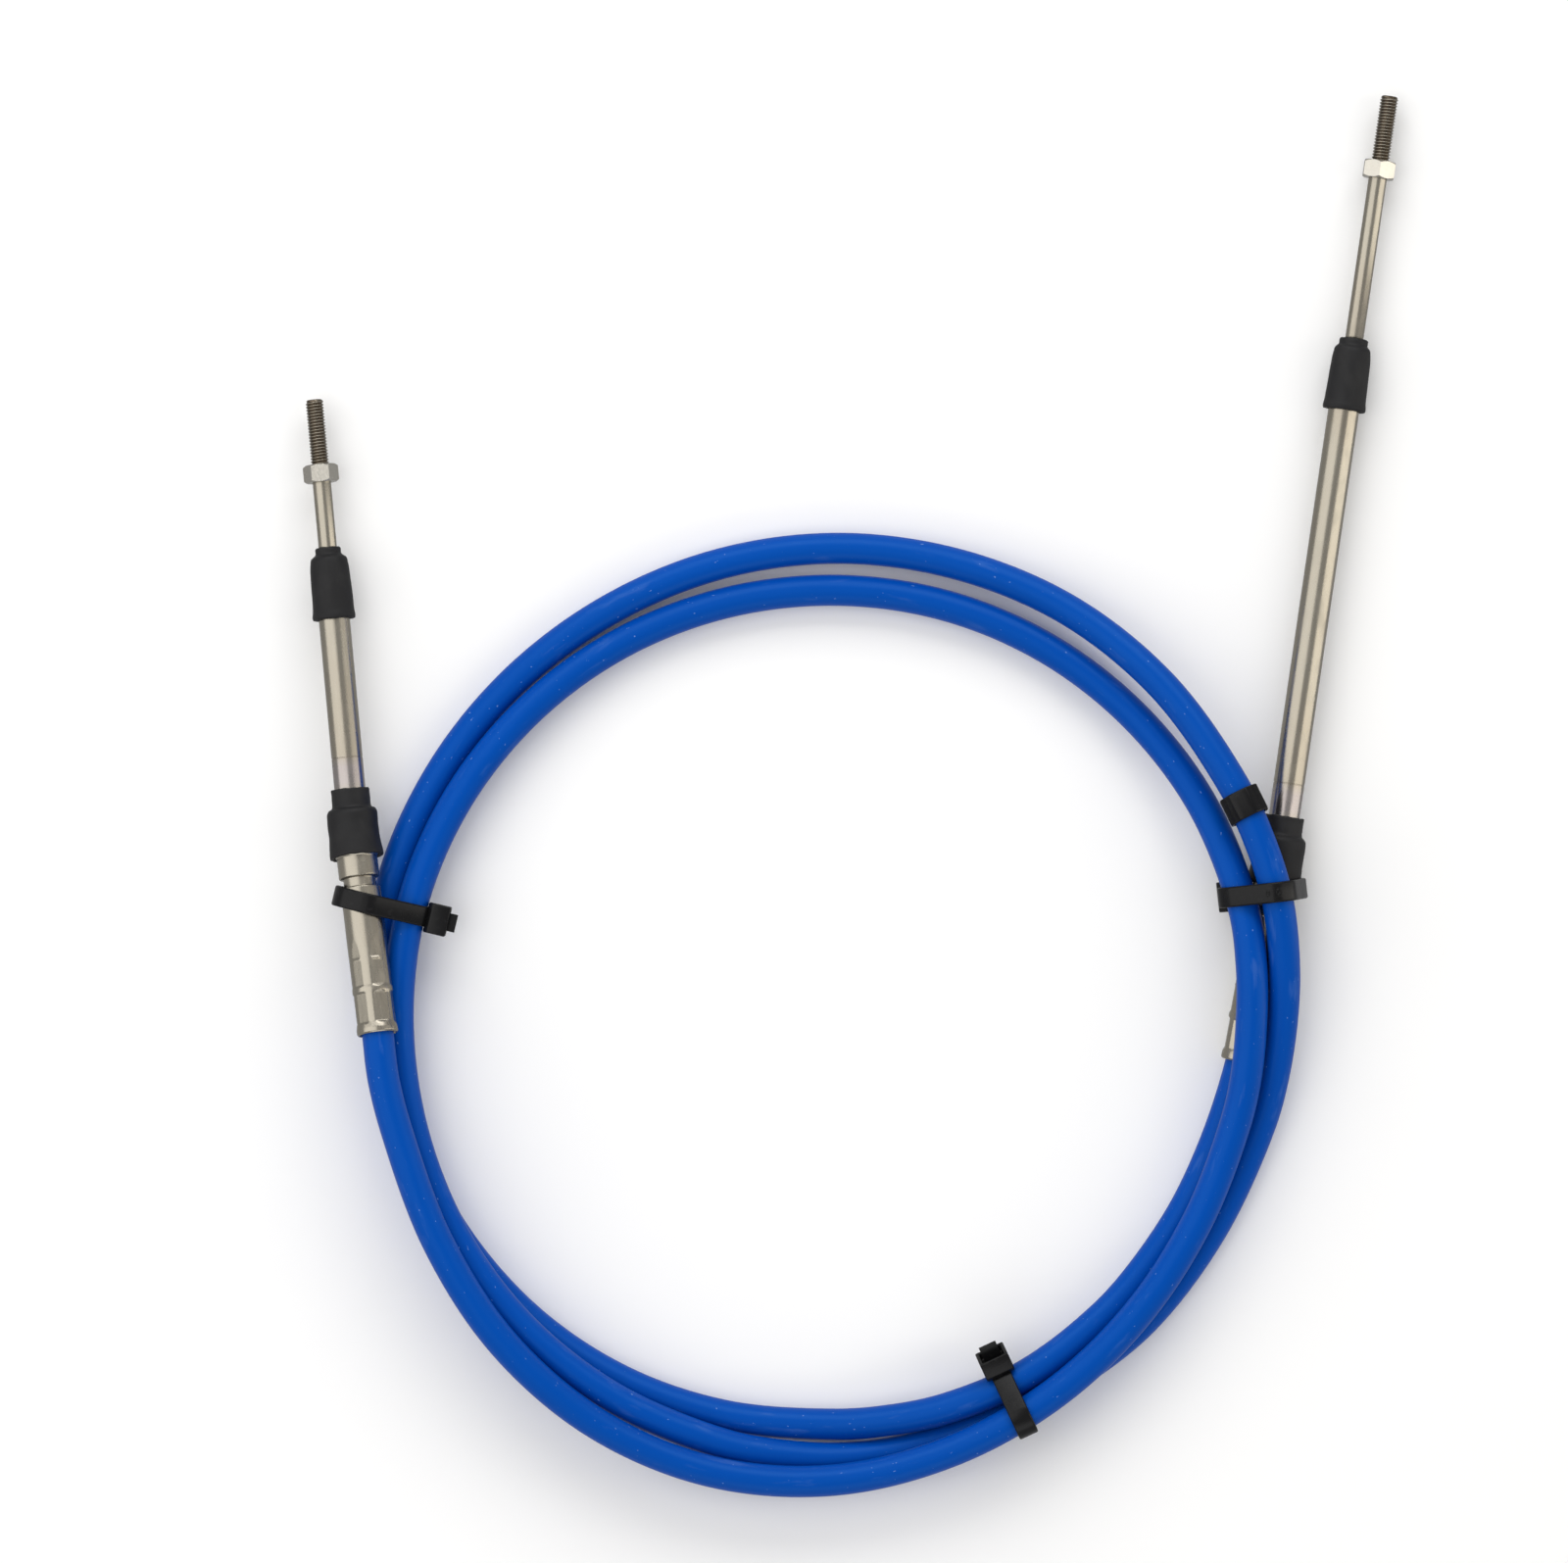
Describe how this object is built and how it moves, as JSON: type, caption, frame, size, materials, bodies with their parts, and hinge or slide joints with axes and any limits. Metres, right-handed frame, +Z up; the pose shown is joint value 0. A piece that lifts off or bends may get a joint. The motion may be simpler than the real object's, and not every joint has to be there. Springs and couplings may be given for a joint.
{
  "type": "push-pull control cable",
  "caption": "Coiled push-pull trim cable: plastic-jacketed conduit, crimped hubs, swivelling support tubes, rubber boots and sliding threaded rod ends, held by cable ties.",
  "frame": {"origin": "middle of the underside of the part's bounding box, on the floor it lies on", "axes": "+Z up from the floor, along the coil's axis; +Y the way both rod ends point; +X from end A to end B"},
  "size_m": [0.3576, 0.4578, 0.0333],
  "materials": {
    "jacket": "satin extruded plastic with fine scuffs",
    "steel": "polished stainless steel",
    "nut_steel": "bright plated steel",
    "rubber": "moulded matte rubber",
    "nylon": "moulded black nylon"
  },
  "bodies": {
    "root": {"cable_jacket": "jacket", "hub_a": "steel", "lower_boot_a": "rubber", "hub_b": "steel", "lower_boot_b": "rubber", "cable_tie_1": "nylon", "cable_tie_2": "nylon", "cable_tie_3": "nylon", "band_clip": "nylon"},
    "tube_a": {"support_tube_a": "steel", "upper_boot_a": "rubber"},
    "rod_a": {"rod_a": "steel", "jam_nut_a": "nut_steel"},
    "tube_b": {"support_tube_b": "steel", "upper_boot_b": "rubber"},
    "rod_b": {"rod_b": "steel", "jam_nut_b": "nut_steel"}
  },
  "joints": [
    {"name": "swivel_a", "type": "hinge", "parent": "root", "child": "tube_a", "pos_m": [-0.16252, -0.01177, 0.0157], "axis": [0, 0, 1], "range_deg": [-6.2, 9.8], "deforming": ["lower_boot_a"]},
    {"name": "rod_a_slide", "type": "slide", "parent": "tube_a", "child": "rod_a", "axis": [-0.094, 0.9941, -0.0549], "range_m": [-0.02, 0.05]},
    {"name": "swivel_b", "type": "hinge", "parent": "root", "child": "tube_b", "pos_m": [0.13918, -0.02067, 0.0106], "axis": [0, 0, 1], "range_deg": [-9.8, 6.2], "deforming": ["lower_boot_b"]},
    {"name": "rod_b_slide", "type": "slide", "parent": "tube_b", "child": "rod_b", "axis": [0.1461, 0.9891, -0.017], "range_m": [-0.05, 0.02]}
  ],
  "couplings": [
    {"joint": "rod_b_slide", "follows": "rod_a_slide", "ratio": -1}
  ]
}
